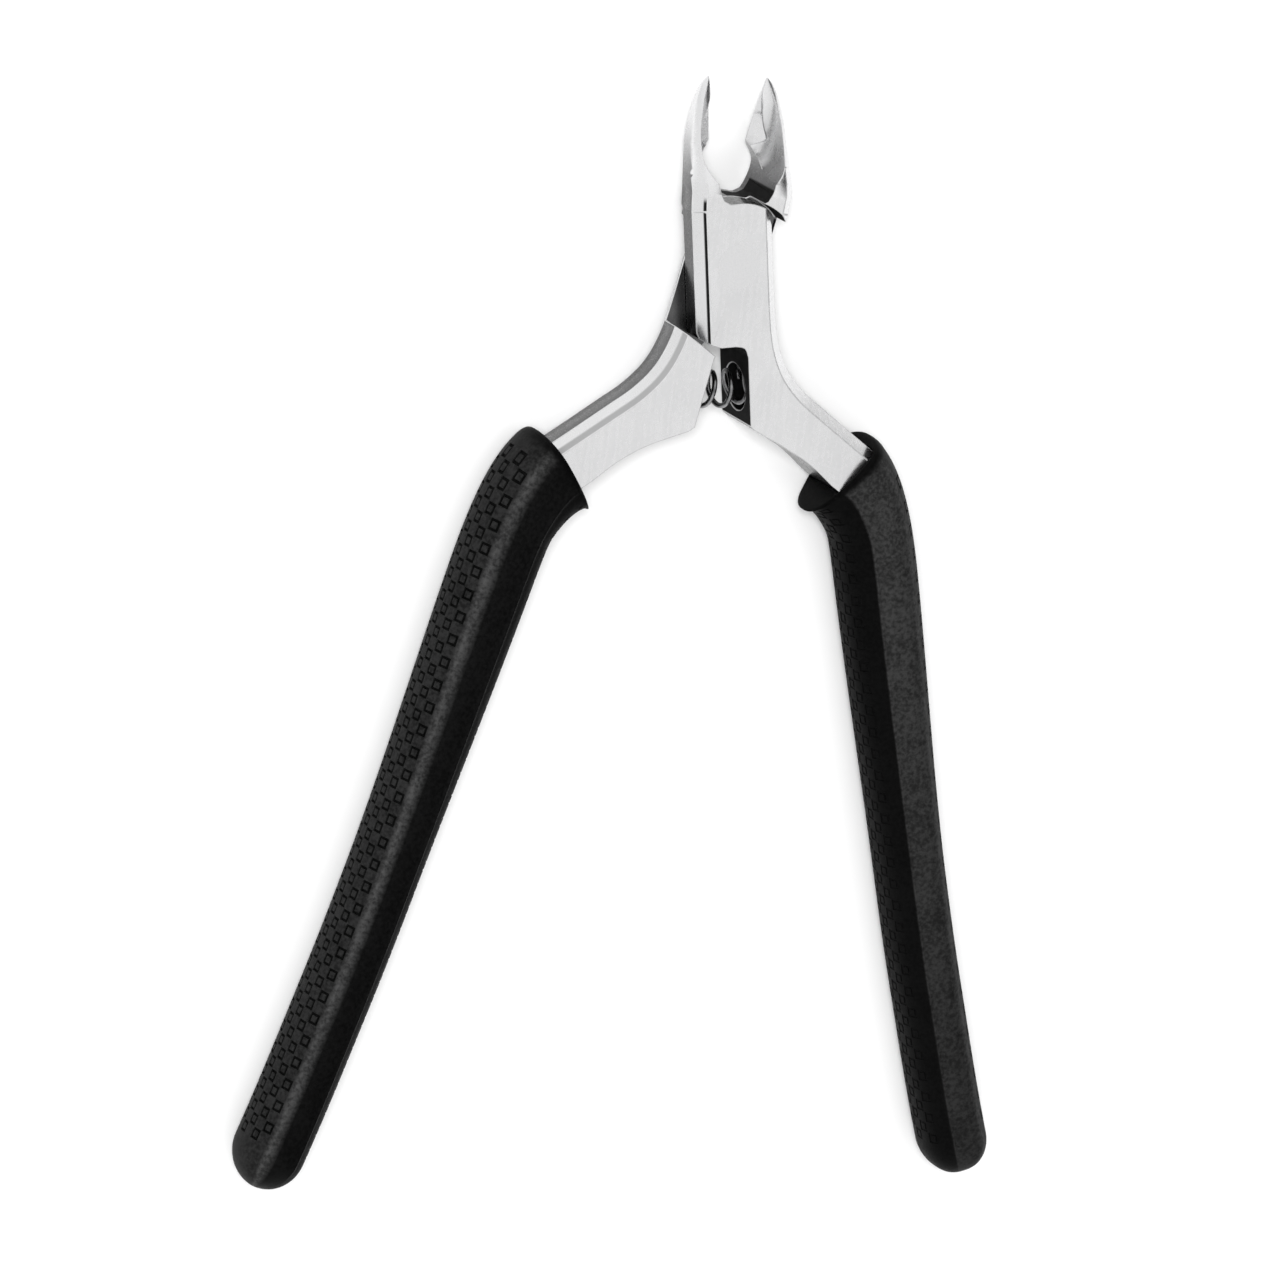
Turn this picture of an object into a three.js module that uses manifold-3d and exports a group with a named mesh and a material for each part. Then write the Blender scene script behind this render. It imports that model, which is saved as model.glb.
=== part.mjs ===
// Cuticle nipper: two steel levers crossing in a flush riveted lap joint,
// a coil spring between them and a soft sleeve on each handle.
//
// Millimetres, +Z up. The tool lies on its back: the jaws point along +Y,
// the joint's axis is +Z through the origin and the back faces are at z = 0.
// Each lever is drawn in its own frame, as it stands when the tool is
// closed, with its handle on the +x side, and is then turned to rest.
import * as THREE from 'three';
import { mergeVertices } from 'three/addons/utils/BufferGeometryUtils.js';
import Module from 'manifold-3d';

// Driving dimensions.
const REST_ANGLE = 19.5;        // degrees between the levers at rest
const THICK = 7.2;              // steel, front face to back face
const LAP_GAP = 0.16;           // between the two lap faces
const HALF_WIDTH = 4.5;         // joint, centre to side
const FRONT_CHAMFER = { across: 1.2, deep: 1.2 };
const BACK_CHAMFER = { across: 1.8, deep: 3.4 };
const PLATE_R = 6.65;           // top of the plate, an arc about the rivet
const JAW_SHOULDER_R = 7.0;     // foot of the jaw, clear of that arc
const HANDLE_SHOULDER = 8.7;    // rivet to the handle's sloping shoulder
const SHOULDER_LEAN = 22.5;     // degrees
const JAW_TIP = 19.1;           // rivet to the tips
const JAW_START = 6.0;          // where the jaw is blended into the plate
const TAPER_START = 8.2;        // the jaw thins towards its tip from here
const ROUNDING_START = 8;       // and its section turns from chamfered to oval
const ROUNDING_LENGTH = 6;
const HEEL = 12.2;              // rivet to the inner end of the cutting edge
const EDGE_GAP = 0.04;          // each cutting edge to the centre line
const TIP_Z = 1.6;              // height of the tips
const TIP_THICK = 0.12;
const HEEL_EDGE_Z = 0.9;        // height of the cutting edge at its inner end
const UNDER_EDGE = 1.1;         // how fast the jaw's under side falls away from it
const HOLLOW_START = 7.4;       // rivet to the foot of the hollow in each jaw
const HOLLOW_WIDEST = 11.2;
const HOLLOW_R = 2.75;
const HOLLOW_FLOOR = 1.15;      // thickness left under the hollow
const BEVEL_WIDE = 1.75;        // ground bevel behind the cutting edge
const BEVEL_WIDEST = 13.0;      // rivet to where it is widest
const BEVEL_RISE = 0.62;        // height for each millimetre away from the edge
const FRONT_INNER = 0.75;       // front lever's inner face to the centre line
const REAR_INNER = -0.2;        // rear lever's, which reaches just across it
const SHANK_OUTER = 2.75;       // shank's sides to its middle, at the sleeve
const SHANK_INNER = 2.9;
const SHANK_IN = 2.0;           // length of the full shank inside the sleeve
const RIVET_R = 2.2;
const RIVET_FIT = 0.02;         // in the front lever
const RIVET_RUN = 0.06;         // in the rear lever
const SPRING_ARM = 13.8;        // rivet to the spring's line
const SPRING_R = 1.78;          // wire centre
const WIRE_R = 0.28;
const SPRING_COILS = 4.75;
const SEAT_R = 2.5;
const SEAT_FLOOR = 2.8;         // centre line to the bottom of a seat
const GRIP_GAP = 0.3;           // between tang and sleeve
const NECK_GAP = 0.12;          // between shank and sleeve, at the mouth
const MOUTH_LIP = 2.6;          // swelling inside the mouth of a sleeve
const MOUTH_LIP_FULL = 2.5;     // its full part, and then the part where it runs out
const MOUTH_LIP_TAPER = 6.5;
const SLEEVE_START = 0.2;       // along the handle from where the shank enters it
const SLEEVE_OVERHANG = 3.0;    // beyond the end of the handle's path
const SLEEVE_ROUND = 4.2;       // length of the rounded end
const RIM_ROUND = 0.8;          // rounding round the mouth
const TANG_SHORT = 6;           // the tang stops this far before the path's end
const MID = THICK / 2;

const wasm = await Module();
wasm.setup();

// --- small helpers ---------------------------------------------------------

const clamp01 = (v) => Math.min(1, Math.max(0, v));
const smooth = (v) => clamp01(v) ** 2 * (3 - 2 * clamp01(v));
const mix = (a, b, v) => a + (b - a) * v;
const rad = THREE.MathUtils.degToRad;
const vec = (x, y) => new THREE.Vector2(x, y);

function toSolid(geometry) {
  geometry.deleteAttribute('normal');
  geometry.deleteAttribute('uv');
  const g = mergeVertices(geometry, 1e-4);
  return new wasm.Manifold(new wasm.Mesh({
    numProp: 3,
    vertProperties: new Float32Array(g.attributes.position.array),
    triVerts: new Uint32Array(g.index.array),
  }));
}

function toGeometry(solid) {
  const m = solid.getMesh();
  const g = new THREE.BufferGeometry();
  g.setAttribute('position', new THREE.BufferAttribute(m.vertProperties, 3));
  g.setIndex(new THREE.BufferAttribute(m.triVerts, 1));
  g.computeVertexNormals();
  return g;
}

// Skins a list of closed rings of equal length and caps both ends.
function skin(rings) {
  const n = rings[0].length;
  const positions = [];
  const index = [];
  for (const ring of rings) {
    for (const p of ring) positions.push(p.x, p.y, p.z);
  }
  for (let i = 0; i + 1 < rings.length; i += 1) {
    for (let j = 0; j < n; j += 1) {
      const k = (j + 1) % n;
      const [a, b] = [i * n + j, i * n + k];
      index.push(a, b, a + n, b, b + n, a + n);
    }
  }
  for (const [ring, first, flip] of [
    [rings[0], 0, true],
    [rings[rings.length - 1], (rings.length - 1) * n, false],
  ]) {
    const centre = new THREE.Vector3();
    for (const p of ring) centre.addScaledVector(p, 1 / n);
    const c = positions.length / 3;
    positions.push(centre.x, centre.y, centre.z);
    for (let j = 0; j < n; j += 1) {
      const [a, b] = [first + j, first + ((j + 1) % n)];
      if (flip) index.push(c, b, a);
      else index.push(c, a, b);
    }
  }
  const g = new THREE.BufferGeometry();
  g.setAttribute('position', new THREE.Float32BufferAttribute(positions, 3));
  g.setIndex(index);
  return g;
}

function solidSkin(rings) {
  const solid = toSolid(skin(rings));
  if (solid.volume() > 0) return solid;
  return toSolid(skin(rings.map((ring) => [...ring].reverse())));
}

// A prism on an outline in the XY plane.
function prism(points, low, high, bevel = null) {
  const shape = new THREE.Shape(points);
  if (!bevel) {
    const g = new THREE.ExtrudeGeometry(shape, { depth: high - low, bevelEnabled: false });
    return toSolid(g).translate([0, 0, low]);
  }
  const g = new THREE.ExtrudeGeometry(shape, {
    depth: high - low - 2 * bevel.deep,
    bevelEnabled: true,
    bevelSegments: 1,
    bevelThickness: bevel.deep,
    bevelSize: bevel.across,
    bevelOffset: -bevel.across,
  });
  return toSolid(g).translate([0, 0, low + bevel.deep]);
}

// A round bar along Z.
function bar(radius, low, high, sides) {
  const g = new THREE.CylinderGeometry(radius, radius, high - low, sides);
  g.rotateX(Math.PI / 2);
  g.translate(0, 0, (low + high) / 2);
  return toSolid(g);
}

function spline(points, steps) {
  return new THREE.SplineCurve(points).getPoints(steps);
}

function arc(radius, fromDeg, toDeg, steps) {
  const points = [];
  for (let i = 0; i <= steps; i += 1) {
    const a = rad(mix(fromDeg, toDeg, i / steps));
    points.push(vec(radius * Math.cos(a), radius * Math.sin(a)));
  }
  return points;
}

// --- lever outlines, handle on the +x side ---------------------------------

// The shank enters its sleeve at MOUTH, heading down and outwards.
const MOUTH = vec(12.57, -23.81);
const HEADING = vec(0.714, -0.7).normalize();
const ACROSS = vec(-HEADING.y, HEADING.x);

function fromMouth(along, across) {
  return vec(
    MOUTH.x + HEADING.x * along + ACROSS.x * across,
    MOUTH.y + HEADING.y * along + ACROSS.y * across,
  );
}

// Outer side of the joint and shank, running down from the joint.
const outerSide = () => spline([
  vec(HALF_WIDTH, -5.0), vec(4.72, -8.8), vec(5.6, -12.0), vec(7.35, -14.7),
  vec(9.6, -17.0), fromMouth(-3.9, SHANK_OUTER), fromMouth(-1.3, SHANK_OUTER),
], 28);

// Under side of the shank, running back up to the inner face.
const underSide = (inner) => spline([
  fromMouth(-1.3, -SHANK_INNER), vec(7.3, -22.4), vec(4.5, -20.15), vec(inner + 0.55, -17.85),
], 16);

function leverOutline(inner) {
  return [
    vec(-HALF_WIDTH, 6.2),
    vec(-HALF_WIDTH, -6.7),
    ...spline([vec(-4.3, -7.35), vec(-3.3, -7.95), vec(-2.2, -8.4)], 4),
    ...spline([vec(inner - 1.4, -8.5), vec(inner - 0.35, -8.85), vec(inner, -9.9)], 6),
    vec(inner, -17.3),
    ...underSide(inner).reverse(),
    fromMouth(SHANK_IN, -SHANK_INNER),
    fromMouth(SHANK_IN, SHANK_OUTER),
    ...outerSide().reverse(),
    vec(HALF_WIDTH - 0.1, 3.6),
    ...arc(PLATE_R, 58, 91, 10),
  ];
}

// The same outer sides with everything else moved out of the way, so that
// only they carry the chamfer.
function chamferOutline() {
  return [
    vec(-HALF_WIDTH, 30),
    vec(-HALF_WIDTH, -50),
    fromMouth(20, -12),
    fromMouth(20, SHANK_OUTER),
    ...outerSide().reverse(),
    vec(HALF_WIDTH, 30),
  ];
}

// What the other lever's plate sweeps, cut from one half of the thickness.
function lapOutline(inner) {
  const n = rad(-90 + SHOULDER_LEAN);
  const foot = vec(HANDLE_SHOULDER * Math.cos(n), HANDLE_SHOULDER * Math.sin(n));
  const along = vec(-Math.sin(n), Math.cos(n));
  const at = (d) => vec(foot.x + along.x * d, foot.y + along.y * d);
  return [
    vec(-9, 5.0),
    vec(-9, -12),
    vec(inner - 0.3, -12),
    vec(inner - 0.3, -9.7),
    at(-1.9),
    at(7),
    vec(9.8, 7.4),
    vec(0.2, 7.4),
    ...arc(JAW_SHOULDER_R, 88, 134, 12),
  ];
}

// Relief between the jaws below the cutting edges, jaw on the +x side.
function reliefOutline() {
  return [
    vec(-1, 6.5),
    vec(0.6, 6.7),
    ...spline([
      vec(1.3, 7.2), vec(1.6, 8.1), vec(1.75, 9.3), vec(1.6, 10.4), vec(1.0, 11.3),
      vec(0, HEEL),
    ], 16),
    vec(-1, HEEL),
  ];
}

// --- jaw, on the +x side ----------------------------------------------------

const taper = (y) => clamp01((y - TAPER_START) / (JAW_TIP - TAPER_START));
const jawFront = (y) => THICK - (THICK - TIP_Z - TIP_THICK) * taper(y) ** 1.3;
const jawBack = (y) => TIP_Z * taper(y) ** 2.2;
const jawWidth = (y) => HALF_WIDTH
  * (1 - clamp01((y - JAW_START) / (JAW_TIP + 0.05 - JAW_START)) ** 1.6) ** 0.6;
const edgeHeight = (y) => mix(
  HEEL_EDGE_Z,
  TIP_Z + 0.05,
  clamp01((y - HEEL) / (JAW_TIP - HEEL)) ** 1.6,
);

// Half of a jaw's section, from the inner plane round to the widest point:
// chamfered like the joint's side at its foot and oval further on.
function jawQuarter(w, h, chamfer, round) {
  const steps = 8;
  const flat = Math.max(w - chamfer.across, 0.3);
  const points = [];
  for (let i = 0; i <= steps; i += 1) {
    const t = i / steps;
    const bend = (Math.PI / 2) * t;
    const corner = t < 0.5
      ? [mix(EDGE_GAP, flat, t * 2), 0]
      : [mix(flat, w, t * 2 - 1), (h * chamfer.deep / THICK) * (t * 2 - 1)];
    const oval = [mix(EDGE_GAP, w, Math.sin(bend)), (h / 2.2) * (1 - Math.cos(bend))];
    points.push([mix(corner[0], oval[0], round), mix(corner[1], oval[1], round)]);
  }
  return points;
}

function jawRing(y) {
  const [low, high, w] = [jawBack(y), jawFront(y), jawWidth(y)];
  const round = smooth((y - ROUNDING_START) / ROUNDING_LENGTH);
  const back = jawQuarter(w, high - low, BACK_CHAMFER, round);
  const front = jawQuarter(w, high - low, FRONT_CHAMFER, round).reverse();
  return [
    ...back.map(([x, up]) => new THREE.Vector3(x, y, low + up)),
    ...front.map(([x, down]) => new THREE.Vector3(x, y, high - down)),
  ];
}

function hollowShare(y) {
  return y < HOLLOW_WIDEST
    ? clamp01((HOLLOW_WIDEST - y) / (HOLLOW_WIDEST - HOLLOW_START + 0.05))
    : clamp01((y - HOLLOW_WIDEST) / (JAW_TIP - HOLLOW_WIDEST + 0.1));
}

const hollowRadius = (y) => HOLLOW_R * (1 - hollowShare(y) ** (y < HOLLOW_WIDEST ? 1.7 : 1.9));

function hollowRing(y) {
  const r = hollowRadius(y);
  const room = jawFront(y) - jawBack(y);
  const full = room - Math.min(HOLLOW_FLOOR, room * 0.5);
  const deep = full * (y < HOLLOW_WIDEST ? Math.sqrt(1 - hollowShare(y) ** 4) : 1);
  const ring = [];
  const steps = 20;
  for (let i = 0; i <= steps; i += 1) {
    const a = Math.PI * (i / steps);
    ring.push(new THREE.Vector3(r * Math.cos(a), y, jawFront(y) - deep * Math.sin(a)));
  }
  ring.push(new THREE.Vector3(-r, y, THICK + 2), new THREE.Vector3(r, y, THICK + 2));
  return ring;
}

// The bevel that brings the jaw down to its cutting edge.
function bevelRing(y) {
  const edge = edgeHeight(y);
  const towardsTip = clamp01((JAW_TIP - y) / (JAW_TIP - BEVEL_WIDEST)) ** 2;
  const towardsHeel = smooth((y - HEEL + 1) / (BEVEL_WIDEST - HEEL + 1));
  const wide = Math.max(BEVEL_WIDE * towardsTip * towardsHeel, 0.1);
  const at = (x, up) => new THREE.Vector3(x, y, edge + x * BEVEL_RISE + up);
  return [at(-0.5, 0), at(wide, 0), at(wide, 0.9), at(-0.5, 2.2)];
}

// What is ground away below the cutting edge.
function underRing(y) {
  const edge = edgeHeight(y) - 0.03;
  const at = (x, up) => new THREE.Vector3(x, y, edge - x * UNDER_EDGE + up);
  return [at(-0.5, 0), at(-0.5, -6), at(3, -3), at(3, 0)];
}

const stations = (low, high, count) => Array.from(
  { length: count },
  (_, i) => mix(low, high, i / (count - 1)),
);

function jaw() {
  const outer = solidSkin(stations(JAW_START, JAW_TIP, 30).map(jawRing));
  const hollow = solidSkin(stations(HOLLOW_START, JAW_TIP, 30).map(hollowRing));
  const bevel = solidSkin(stations(HEEL - 0.9, JAW_TIP + 0.1, 30).map(bevelRing));
  const under = solidSkin(stations(HEEL - 2.6, JAW_TIP + 0.1, 30).map(underRing));
  return outer.subtract(hollow)
    .subtract(bevel)
    .subtract(under)
    .subtract(prism(reliefOutline(), -1, THICK + 1));
}

// --- handles ----------------------------------------------------------------

function handlePath() {
  const path = new THREE.CurvePath();
  path.add(new THREE.CubicBezierCurve(
    MOUTH,
    fromMouth(3.2, 0),
    vec(15.65, -31),
    vec(16.15, -37.5),
  ));
  path.add(new THREE.CubicBezierCurve(
    vec(16.15, -37.5),
    vec(17.1, -49),
    vec(18.7, -70.2),
    vec(20.45, -83.4),
  ));
  path.add(new THREE.CubicBezierCurve(
    vec(20.45, -83.4),
    vec(21.25, -89.5),
    vec(22, -95.7),
    vec(23.15, -102.3),
  ));
  return path;
}

const path = handlePath();
const pathLength = path.getLength();
const PATH_STEPS = 199;
const tableOfPath = stations(0, 1, PATH_STEPS + 1).map((u) => path.getPointAt(u));

// Point and direction at a distance along the handle; straight before the mouth.
function onPath(s) {
  const u = clamp01(s / pathLength);
  const i = Math.min(Math.floor(u * PATH_STEPS), PATH_STEPS - 1);
  const p = tableOfPath[i].clone().lerp(tableOfPath[i + 1], u * PATH_STEPS - i);
  const back = tableOfPath[Math.max(i - 2, 0)];
  const t = tableOfPath[Math.min(i + 3, PATH_STEPS)].clone().sub(back).normalize();
  const beyond = s < 0 ? s : Math.max(s - pathLength, 0);
  p.addScaledVector(t, beyond);
  return [p, t];
}

// A rounded section across the handle: half height b, half width a on the
// outer side and `inner` on the side of the other handle.
function handleRing(s, a, b, power, count, inner = a) {
  const [p, t] = onPath(s);
  const ring = [];
  for (let i = 0; i < count; i += 1) {
    const f = (2 * Math.PI * i) / count;
    const [c, n] = [Math.cos(f), Math.sin(f)];
    const u = (c < 0 ? -inner : a) * Math.abs(c) ** (2 / power);
    const v = b * Math.sign(n) * Math.abs(n) ** (2 / power);
    ring.push(new THREE.Vector3(p.x + u * -t.y, p.y + u * t.x, MID + v));
  }
  return ring;
}

const TANG_END = pathLength - TANG_SHORT;
const tangWidth = (s) => mix(2.5, 1.7, smooth(s / 24));
const tangHeight = (s) => mix(3.2, 1.9, smooth(s / 24));

function tang(extra, from, to, count) {
  return solidSkin(stations(from, to, count).map((s) => handleRing(
    s,
    tangWidth(s) + extra,
    tangHeight(s) + extra,
    3.2,
    16,
  )));
}

function lever(plateInFront) {
  const inner = plateInFront ? FRONT_INNER : REAR_INNER;
  const body = prism(leverOutline(inner), 0, THICK)
    .intersect(prism(chamferOutline(), -6, THICK, FRONT_CHAMFER))
    .intersect(prism(chamferOutline(), 0, THICK + 6, BACK_CHAMFER));
  const jawPart = jaw().mirror([1, 0, 0]);
  const cut = plateInFront
    ? prism(lapOutline(inner), -1, MID + LAP_GAP / 2)
    : prism(lapOutline(inner), MID - LAP_GAP / 2, THICK + 1);
  const fit = plateInFront ? RIVET_FIT : RIVET_RUN;
  const hole = bar(RIVET_R + fit, -1, THICK + 1, 48);
  const seat = bar(SEAT_R, inner - 1, SEAT_FLOOR, 40)
    .rotate([0, 90, 0])
    .translate([0, -SPRING_ARM, MID]);
  return body.add(jawPart)
    .add(tang(0, 0, TANG_END, 24))
    .subtract(cut)
    .subtract(hole)
    .subtract(seat);
}

// Sleeve: swollen at its mouth, slimmer along the handle, closed and round
// at the end.
const SLEEVE_END = pathLength + SLEEVE_OVERHANG;
const lipShare = (s) => 1 - smooth((s - MOUTH_LIP_FULL) / MOUTH_LIP_TAPER);
const sleeveLip = (s) => MOUTH_LIP * lipShare(s) * sleeveEnd(s);
const sleeveWidth = (s) => mix(4.25, 3.5, smooth((s - 12) / 36)) * sleeveEnd(s);
const sleeveHeight = (s) => mix(4.95, 4.7, smooth(s / 24)) * sleeveEnd(s);

function sleeveEnd(s) {
  const closing = clamp01((s - (SLEEVE_END - SLEEVE_ROUND)) / SLEEVE_ROUND);
  const opening = clamp01((SLEEVE_START + RIM_ROUND - s) / RIM_ROUND);
  return Math.sqrt(1 - closing ** 2 * 0.995) * (1 - 0.06 * opening ** 2);
}

function sleeve() {
  const marks = [
    ...stations(SLEEVE_START, SLEEVE_START + RIM_ROUND, 4),
    ...stations(SLEEVE_START + 2.5, SLEEVE_END - SLEEVE_ROUND, 24),
    ...stations(SLEEVE_END - SLEEVE_ROUND + 0.4, SLEEVE_END, 9),
  ];
  const outer = solidSkin(marks.map((s) => handleRing(
    s,
    sleeveWidth(s),
    sleeveHeight(s),
    2.5,
    32,
    sleeveWidth(s) + sleeveLip(s),
  )));
  const length = 2 * (SHANK_IN + NECK_GAP);
  const across = SHANK_OUTER + SHANK_INNER + 2 * NECK_GAP;
  const at = fromMouth(0, (SHANK_OUTER - SHANK_INNER) / 2);
  const neck = new THREE.BoxGeometry(length, across, THICK + 2 * NECK_GAP)
    .rotateZ(HEADING.angle())
    .translate(at.x, at.y, MID);
  return outer
    .subtract(tang(GRIP_GAP, 0, TANG_END + GRIP_GAP, 24))
    .subtract(toSolid(neck));
}

// --- spring -----------------------------------------------------------------

// The spring follows an arc about the rivet from one seat to the other.
function springGeometry() {
  const reach = (SEAT_FLOOR - WIRE_R - 0.1) / SPRING_ARM;
  const half = rad(REST_ANGLE / 2) + reach;
  const points = [];
  const steps = Math.round(SPRING_COILS * 18);
  for (let i = 0; i <= steps; i += 1) {
    const t = i / steps;
    const closed = 0.5 + (t - 0.5) * mix(1, 0.94, Math.abs(2 * t - 1) ** 4);
    const a = mix(half, -half, closed);
    const f = 2 * Math.PI * SPRING_COILS * t;
    const r = SPRING_ARM + SPRING_R * Math.cos(f);
    points.push(new THREE.Vector3(-r * Math.sin(a), -r * Math.cos(a), MID + SPRING_R * Math.sin(f)));
  }
  const line = new THREE.CatmullRomCurve3(points);
  const wire = new THREE.Shape().absarc(0, 0, WIRE_R, 0, Math.PI * 2);
  return new THREE.ExtrudeGeometry(wire, {
    steps: steps,
    curveSegments: 4,
    bevelEnabled: false,
    extrudePath: line,
  });
}

// --- assembly ---------------------------------------------------------------

const steel = new THREE.MeshStandardMaterial({ color: 0xc9cbcd, metalness: 1, roughness: 0.3 });
const rivetSteel = new THREE.MeshStandardMaterial({ color: 0xc4c6c8, metalness: 1, roughness: 0.3 });
const springSteel = new THREE.MeshStandardMaterial({ color: 0x3a3b3d, metalness: 1, roughness: 0.3 });
const rubber = new THREE.MeshStandardMaterial({ color: 0x1a1b1d, metalness: 0, roughness: 0.7 });

const group = new THREE.Group();
group.name = 'cuticle_nipper';

function side(name, degrees) {
  const half = new THREE.Group();
  half.name = name;
  half.rotation.z = rad(degrees);
  group.add(half);
  return half;
}

function place(parent, name, geometry, material) {
  const mesh = new THREE.Mesh(geometry, material);
  mesh.name = name;
  parent.add(mesh);
}

// The rear half is the front half's mirror image, apart from the lap.
const front = side('front', REST_ANGLE / 2);
const rear = side('rear', -REST_ANGLE / 2);
const mirrored = (solid) => toGeometry(solid.mirror([1, 0, 0]));

place(front, 'front_lever', toGeometry(lever(true)), steel);
place(rear, 'rear_lever', mirrored(lever(false)), steel);
place(front, 'pivot_rivet', toGeometry(bar(RIVET_R, 0, THICK, 48)), rivetSteel);
place(group, 'spring', springGeometry(), springSteel);
place(front, 'right_grip', toGeometry(sleeve()), rubber);
place(rear, 'left_grip', mirrored(sleeve()), rubber);

export default group;
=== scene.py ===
"""Looks of a cuticle nipper: two steel levers, a flush rivet, a coil spring and two soft sleeves.

Lengths are in millimetres until an object is made, and in metres after that. The tool lies on
its back: +Y towards the jaws, +Z out of the front faces, the rivet's axis through the origin.
"""

import math

import bpy
import numpy as np
from mathutils import Matrix, Vector


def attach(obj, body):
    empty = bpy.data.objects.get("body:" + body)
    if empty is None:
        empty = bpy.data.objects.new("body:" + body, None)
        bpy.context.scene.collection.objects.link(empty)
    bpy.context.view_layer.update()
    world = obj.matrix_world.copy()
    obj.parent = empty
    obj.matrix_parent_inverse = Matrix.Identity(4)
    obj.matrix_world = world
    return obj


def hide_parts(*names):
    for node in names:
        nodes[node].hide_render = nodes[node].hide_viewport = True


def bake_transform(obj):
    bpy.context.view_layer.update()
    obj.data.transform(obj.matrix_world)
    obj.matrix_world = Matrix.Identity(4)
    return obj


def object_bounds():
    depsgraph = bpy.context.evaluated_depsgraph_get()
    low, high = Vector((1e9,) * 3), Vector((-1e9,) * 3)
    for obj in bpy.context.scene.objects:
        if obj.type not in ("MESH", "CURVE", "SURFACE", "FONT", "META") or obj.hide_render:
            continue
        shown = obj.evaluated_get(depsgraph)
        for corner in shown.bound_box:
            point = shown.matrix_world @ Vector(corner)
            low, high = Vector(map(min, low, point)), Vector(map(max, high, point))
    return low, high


MM = 0.001
HALF_REST = math.radians(9.75)      # each lever's turn from closed
THICK = 7.2                         # steel, front face to back face
MID = THICK / 2

# Sleeve. Places along it are measured from where the shank enters it; widths and heights are
# half of the whole.
SLEEVE_START = 0.2
SLEEVE_OVERHANG = 3.0               # beyond the end of the handle's path
MOUTH = np.array([12.57, -23.81])
HEADING = np.array([0.714, -0.7]) / math.hypot(0.714, 0.7)
MOUTH_WIDTH = 4.25
WIDTH = 3.5
WIDTH_CHANGE = (12, 48)             # where the one width turns into the other
MOUTH_HEIGHT = 4.95
HEIGHT = 4.7
HEIGHT_CHANGE = (0, 24)
LIP = 2.5                           # swelling inside the mouth, most at the rim
LIP_TAPER = 8.6
LIP_POWER = 1.2
END_ROUND = 4.2                     # length of the rounded end
RIM_ROUND = 0.9                     # rounding round the mouth
RIM_SHARE = 0.9                     # section at the very mouth, to the full one
NECK = (2.88, 3.66)                 # opening that hugs the shank
NECK_MIDDLE = -0.075                # its middle from the handle's line
NECK_DEEP = 1.6
NECK_POWER = 1 / 7                  # how square the opening is
# Rings of the mouth's face, from the bottom up: how near to the rim each is, and how deep.
NECK_RINGS = ((0, NECK_DEEP), (0, 0.2), (0.12, 0.04), (0.5, 0.0))
OUTER_POWER = 2.25                  # roundness of the section, outside and inside
INNER_POWER = 2.5
MEAN_SIZE = (3.75, 4.75)            # half width and half height half-way down
CROWN_AT = 1.2                      # the faces slope down from here to the inner side
CROWN_SLOPE = 0.16
RIDGE_AT = -1.5                     # moulded ridge on the front, from the middle
RIDGE_HIGH = 0.16
RIDGE_WIDE = 0.22
RIDGE_STOPS = (-0.5, -0.3, -0.18, -0.08, 0, 0.08, 0.18, 0.3, 0.5)    # lines of the mesh
RIDGE_START = (0.0, 1.5)            # it rises over this length behind the mouth
RIDGE_END = (1.5, 4.5)              # and sinks over this length before the end

# Moulded pattern: columns of small square outlines, every other one shifted by one row.
SQUARE = 1.2
LINE = 0.28                         # width of an outline
WALL = 0.05                         # width of its sloping walls
GROOVE = 0.2                        # its depth
INNER_DEPTH = 0.4                   # depth of the inner side's grooves, against the outer's
ROW_STEP = 1.24
COLUMN_STEP = 1.3
OUTER_COLUMNS = 6
INNER_COLUMNS = 5
OUTER_EDGE = (OUTER_COLUMNS - 1) / 2 * COLUMN_STEP
PATTERN_FROM = 2.6
PATTERN_MARGIN = 4.6                # free of squares at the far end
WIDEST_ROUND = 0.6                  # most between two lines of the mesh, round and along
WIDEST_ALONG = 0.9

# Painted light on the rubber, by distance beyond the last row of squares. The plain band gets the full
# painted highlight.
OUTER_LIGHT = 0.32                  # how much painted light the textured side gets
OUTER_ENDS = (0.65, 1.05)
BAND_STARTS = (0.5, 1.0)
BAND_ENDS = (1.4, 2.2)
FRONT_LIGHT = {1: 0.65, -1: 0.05}   # how much painted light the front gets, on the right and the left sleeve
FRONT_LIGHT_DROP = 0.45                   # how much of its painted light the front loses by the far end
FRONT_SOFT = 0.15                   # it ends at the ridge, over this distance
MOUTH_DARK = (0.4, 1.2)             # no painted light before this, behind the mouth, which leaves painted shade at the rim

# Spring, coiled about an arc that runs round the rivet.
SPRING_ARM = 13.8
SPRING_R = 1.78
WIRE_R = 0.28
WIRE_SIDES = 16
COILS = 4.75
COIL_STEPS = 56
END_SHARE = 0.94                    # the end coils lie a little closer than the others
SEAT_FLOOR = 2.8                    # centre line to the bottom of a seat
SEAT_CLEAR = 0.1                    # wire to the bottom of a seat

# Rivet, whose ends are spread and ground flush.
RIVET_R = 2.2
RIVET_HEAD = 2.37
HEAD_DEEP = 0.16
HEAD_PROUD = 0.004
RIVET_SIDES = 96
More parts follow.
